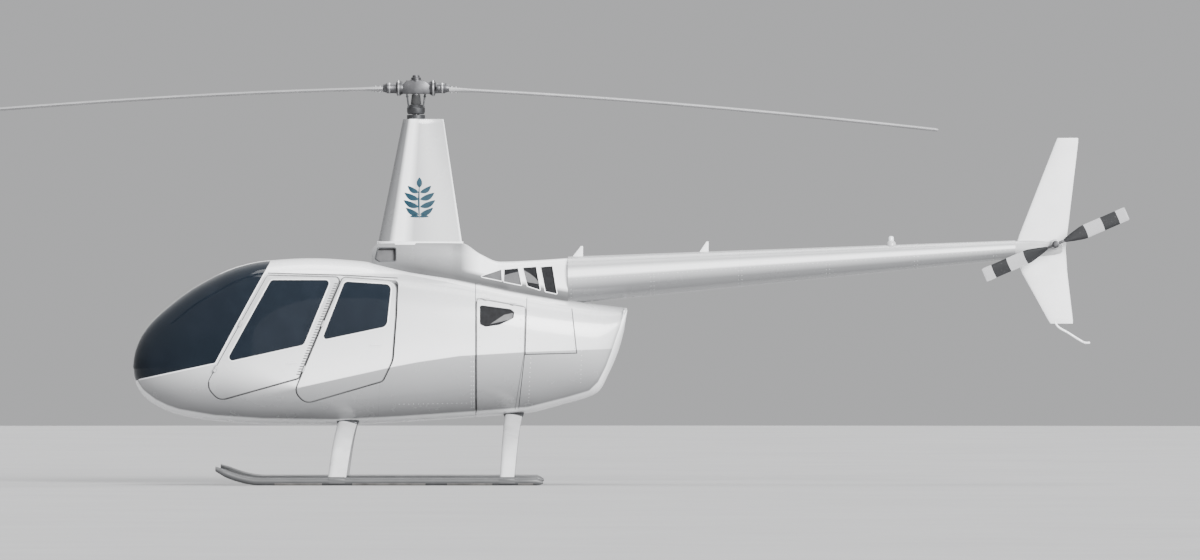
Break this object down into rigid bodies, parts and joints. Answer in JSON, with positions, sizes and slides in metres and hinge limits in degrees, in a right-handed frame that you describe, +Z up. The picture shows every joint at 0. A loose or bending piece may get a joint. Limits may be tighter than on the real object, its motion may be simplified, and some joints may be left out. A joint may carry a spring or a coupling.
{
  "type": "light turbine helicopter",
  "caption": "Light helicopter on skids with a rounded glazed cabin, a tall faired mast, a slim tail boom, opening cabin and engine doors and turning main and tail rotors.",
  "frame": {"origin": "centre of the whole object's outline in plan, at the ground under the skids", "axes": "+Z up, nose towards -X, port side towards -Y"},
  "size_m": [11.543, 2.1924, 3.822],
  "materials": {
    "white_paint": "gloss white paint",
    "tinted_glass": "dark tinted acrylic",
    "dark_metal": "dark heat-stained metal",
    "bare_metal": "satin bare metal",
    "blade_paint": "matt light grey paint",
    "tail_blade_paint": "matt dark grey paint with light bands",
    "skid_paint": "satin grey paint",
    "seat_cover": "soft light grey hide",
    "cabin_plastic": "grained dark grey plastic",
    "red_lens": "clear red plastic",
    "clear_lens": "clear lens over a bright bowl"
  },
  "bodies": {
    "airframe": {"windshield_left": "tinted_glass", "windshield_right": "tinted_glass", "engine": "dark_metal", "main_gearbox": "dark_metal", "exhaust_pipe": "dark_metal", "swashplate_lower": "bare_metal", "tail_gearbox": "bare_metal", "skid_left": "skid_paint", "skid_right": "skid_paint", "tail_guard": "skid_paint", "front_seat_left": "seat_cover", "front_seat_right": "seat_cover", "rear_bench": "seat_cover", "console": "cabin_plastic", "control_stick": "cabin_plastic", "rear_bulkhead": "cabin_plastic", "beacon": "red_lens", "landing_light": "clear_lens", "nose_tub": "white_paint", "cabin_roof": "white_paint", "middle_fuselage": "white_paint", "aft_cowl": "white_paint", "upper_cowl": "white_paint", "mast_fairing": "white_paint", "tailcone": "white_paint", "access_panel_left": "white_paint", "access_panel_right": "white_paint", "antenna_front": "white_paint", "antenna_rear": "white_paint", "upper_fin": "white_paint", "lower_fin": "white_paint", "stabilizer": "white_paint", "front_leg_left": "white_paint", "front_leg_right": "white_paint", "rear_leg_left": "white_paint", "rear_leg_right": "white_paint"},
    "front_door_left": {"front_door_left": "white_paint", "front_window_left": "tinted_glass"},
    "front_door_right": {"front_door_right": "white_paint", "front_window_right": "tinted_glass"},
    "rear_door_left": {"rear_door_left": "white_paint", "rear_window_left": "tinted_glass"},
    "rear_door_right": {"rear_door_right": "white_paint", "rear_window_right": "tinted_glass"},
    "cowl_door_left": {"cowl_door_left": "white_paint"},
    "cowl_door_right": {"cowl_door_right": "white_paint"},
    "main_rotor": {"main_mast": "bare_metal", "swashplate_upper": "bare_metal", "rotor_hub": "bare_metal", "main_blade_a": "blade_paint", "main_blade_b": "blade_paint"},
    "tail_rotor": {"tail_rotor_hub": "bare_metal", "tail_blade_a": "tail_blade_paint", "tail_blade_b": "tail_blade_paint"}
  },
  "joints": [
    {"name": "front_door_left_hinge", "type": "hinge", "parent": "airframe", "child": "front_door_left", "pos_m": [-2.75048, -0.63162, 1.08], "axis": [-0.484, 0.0735, -0.872], "range_deg": [0, 70]},
    {"name": "front_door_right_hinge", "type": "hinge", "parent": "airframe", "child": "front_door_right", "pos_m": [-2.75048, 0.63162, 1.08], "axis": [0.484, 0.0735, 0.872], "range_deg": [0, 70]},
    {"name": "rear_door_left_hinge", "type": "hinge", "parent": "airframe", "child": "rear_door_left", "pos_m": [-1.92557, -0.73504, 1.08], "axis": [-0.3859, -0.0142, -0.9224], "range_deg": [0, 70]},
    {"name": "rear_door_right_hinge", "type": "hinge", "parent": "airframe", "child": "rear_door_right", "pos_m": [-1.92557, 0.73504, 1.08], "axis": [0.3859, -0.0142, 0.9224], "range_deg": [0, 70]},
    {"name": "cowl_door_left_hinge", "type": "hinge", "parent": "airframe", "child": "cowl_door_left", "pos_m": [-0.32185, -0.56868, 1.743], "axis": [-0.978, -0.1063, 0.1794], "range_deg": [0, 75]},
    {"name": "cowl_door_right_hinge", "type": "hinge", "parent": "airframe", "child": "cowl_door_right", "pos_m": [-0.32185, 0.56868, 1.743], "axis": [0.978, -0.1063, -0.1794], "range_deg": [0, 75]},
    {"name": "main_rotor_spin", "type": "hinge", "parent": "airframe", "child": "main_rotor", "pos_m": [-0.89185, 0, 3.7], "axis": [0, 0, 1], "continuous": true},
    {"name": "tail_rotor_spin", "type": "hinge", "parent": "airframe", "child": "tail_rotor", "pos_m": [5.08015, -0.2, 2.239], "axis": [0, 1, 0], "continuous": true}
  ]
}
